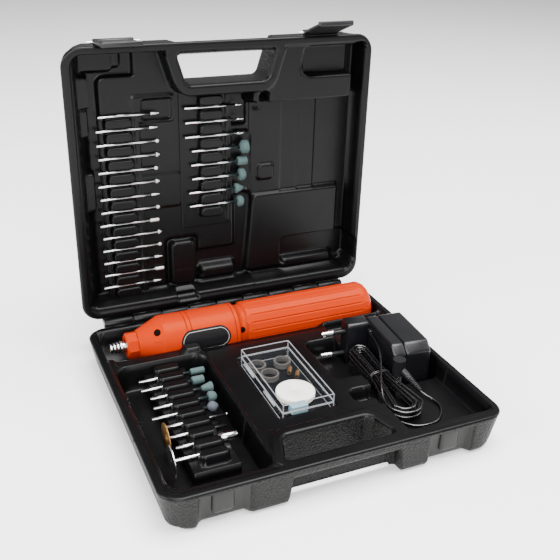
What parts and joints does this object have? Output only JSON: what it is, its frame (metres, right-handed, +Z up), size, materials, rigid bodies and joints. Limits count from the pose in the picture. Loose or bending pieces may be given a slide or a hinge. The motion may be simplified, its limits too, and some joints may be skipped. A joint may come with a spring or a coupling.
{
  "type": "rotary tool kit",
  "caption": "Cased rotary tool kit: slim battery-size motor tool, bits in racks, wall adapter with hanked lead and a clear accessory box, in a hinged case.",
  "frame": {"origin": "centre of the underside of the case base", "axes": "+X to the right along the tool, +Y back to the hinge, +Z up"},
  "size_m": [0.236, 0.2379, 0.2501],
  "materials": {
    "case_plastic": "blow moulded black plastic, smooth inside, pebbled outside",
    "orange_plastic": "moulded orange plastic, satin gloss",
    "black_plastic": "moulded black plastic",
    "label_film": "black film with a grey edge line, left bare",
    "adapter_plastic": "fine grained black moulding",
    "cord_pvc": "black flexible vinyl",
    "bright_metal": "polished, plated",
    "tool_steel": "turned steel",
    "brass_metal": "brass",
    "stone_teal": "bonded abrasive grain",
    "felt_white": "pressed wool felt",
    "sanding_grey": "coated abrasive bands",
    "ferrite": "ferrite and carbon",
    "board_green": "laminate board",
    "clear_plastic": "clear moulded polystyrene"
  },
  "bodies": {
    "case": {"case_base": "case_plastic", "hinge_pin": "tool_steel", "adapter_cover": "adapter_plastic", "adapter_body": "adapter_plastic", "plug_block": "adapter_plastic", "plug_pins": "bright_metal", "pin_sleeves": "adapter_plastic", "transformer_core": "tool_steel", "transformer_coil": "brass_metal", "circuit_board": "board_green", "lead_hank": "cord_pvc", "lead_adapter_end": "cord_pvc", "lead_plug_end": "cord_pvc", "lead_tie": "cord_pvc", "plug_strain_relief": "cord_pvc", "power_plug_body": "cord_pvc", "power_plug_barrel": "bright_metal", "stone_points_base": "stone_teal", "engraving_points_base": "bright_metal", "wire_wheel_bit": "brass_metal", "drum_mandrel": "bright_metal", "steel_wheel_bit": "tool_steel"},
    "lid": {"case_lid": "case_plastic", "latch_pins": "tool_steel", "diamond_points_lid": "tool_steel", "engraving_points_lid": "bright_metal", "stone_points_lid": "stone_teal"},
    "left_latch": {"latch_left": "case_plastic"},
    "right_latch": {"latch_right": "case_plastic"},
    "tool": {"nose_cap": "orange_plastic", "front_housing": "orange_plastic", "housing_screw": "tool_steel", "grip_sleeve": "orange_plastic", "tail_cap": "orange_plastic", "power_socket": "black_plastic", "label_plate": "label_film", "switch_body": "black_plastic", "motor_can": "tool_steel", "motor_end_bell": "tool_steel", "motor_magnets": "ferrite", "motor_bushes": "brass_metal", "motor_brushes": "ferrite", "brush_springs": "tool_steel", "motor_mounts": "black_plastic", "spindle_bearing": "tool_steel"},
    "spindle": {"collet_nut": "bright_metal", "collet": "brass_metal", "chuck_body": "bright_metal", "spindle_shaft": "tool_steel", "shaft_coupling": "tool_steel", "motor_shaft": "tool_steel", "armature": "tool_steel", "commutator": "brass_metal"},
    "switch": {"switch_slider": "black_plastic"},
    "accessory_box": {"clear_box_base": "clear_plastic", "felt_wheel": "felt_white", "sanding_bands": "sanding_grey", "spare_collets": "brass_metal", "dressing_stone": "stone_teal"},
    "box_cover": {"clear_box_cover": "clear_plastic"}
  },
  "joints": [
    {"name": "lid_hinge", "type": "hinge", "parent": "case", "child": "lid", "pos_m": [0, 0.1085, 0.027], "axis": [-1, 0, 0], "range_deg": [-90, 0]},
    {"name": "left_latch_hinge", "type": "hinge", "parent": "lid", "child": "left_latch", "pos_m": [-0.0805, 0.1147, 0.2383], "axis": [-1, 0, 0], "range_deg": [-4, 106]},
    {"name": "right_latch_hinge", "type": "hinge", "parent": "lid", "child": "right_latch", "pos_m": [0.0755, 0.1147, 0.2383], "axis": [-1, 0, 0], "range_deg": [-20, 90]},
    {"name": "tool_lift", "type": "slide", "parent": "case", "child": "tool", "axis": [0, 0, 1], "range_m": [0, 0.06]},
    {"name": "spindle_spin", "type": "hinge", "parent": "tool", "child": "spindle", "pos_m": [0, 0.0779, 0.0225], "axis": [1, 0, 0], "continuous": true},
    {"name": "switch_slide", "type": "slide", "parent": "tool", "child": "switch", "axis": [1, 0, 0], "range_m": [0, 0.004]},
    {"name": "box_lift", "type": "slide", "parent": "case", "child": "accessory_box", "axis": [0, 0, 1], "range_m": [0, 0.04]},
    {"name": "box_cover_hinge", "type": "hinge", "parent": "accessory_box", "child": "box_cover", "pos_m": [-0.02125, -0.009, 0.0222], "axis": [0, -1, 0], "range_deg": [0, 85]}
  ]
}
